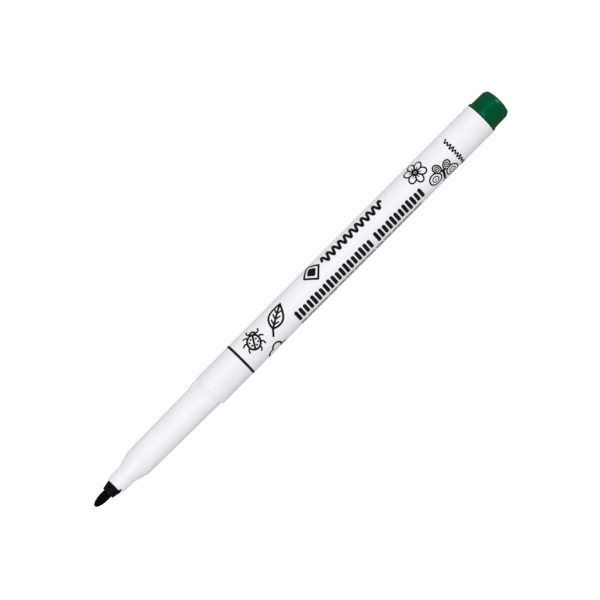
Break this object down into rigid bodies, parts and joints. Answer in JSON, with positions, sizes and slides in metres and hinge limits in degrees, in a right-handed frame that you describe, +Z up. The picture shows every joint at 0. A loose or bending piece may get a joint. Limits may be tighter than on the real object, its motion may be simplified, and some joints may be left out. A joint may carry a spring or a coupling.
{
  "type": "whiteboard marker",
  "caption": "Slim bullet-nib whiteboard marker, uncapped: printed round barrel with a cap-stop shoulder, tapered grip, black nib holder, ink reservoir and push-in end plug.",
  "frame": {"origin": "centre of the end plug's flat rear face, on the marker's axis", "axes": "+X along the marker's axis, out of the rear face; the nib points to -X; +Z up with the marker lying down, and the printed face's middle 40 degrees from +Z towards -Y"},
  "size_m": [0.1434, 0.0094, 0.0094],
  "materials": {
    "white_plastic": "satin",
    "black_plastic": "satin",
    "inked_felt": "matte",
    "inked_fibre": "matte",
    "clear_film": "gloss",
    "natural_plastic": "satin",
    "green_plastic": "satin",
    "print_ink": "satin"
  },
  "bodies": {
    "barrel": {"barrel": "white_plastic", "nib_holder": "black_plastic", "reservoir_core": "inked_fibre", "reservoir_wrap": "clear_film", "breather_tube": "natural_plastic"},
    "nib": {"nib": "inked_felt"},
    "end_plug": {"end_plug": "green_plastic"}
  },
  "joints": [
    {"name": "end_plug_pull", "type": "slide", "parent": "barrel", "child": "end_plug", "axis": [1, 0, 0], "range_m": [0, 0.01]},
    {"name": "nib_pull", "type": "slide", "parent": "barrel", "child": "nib", "axis": [-1, 0, 0], "range_m": [0, 0.027]}
  ]
}
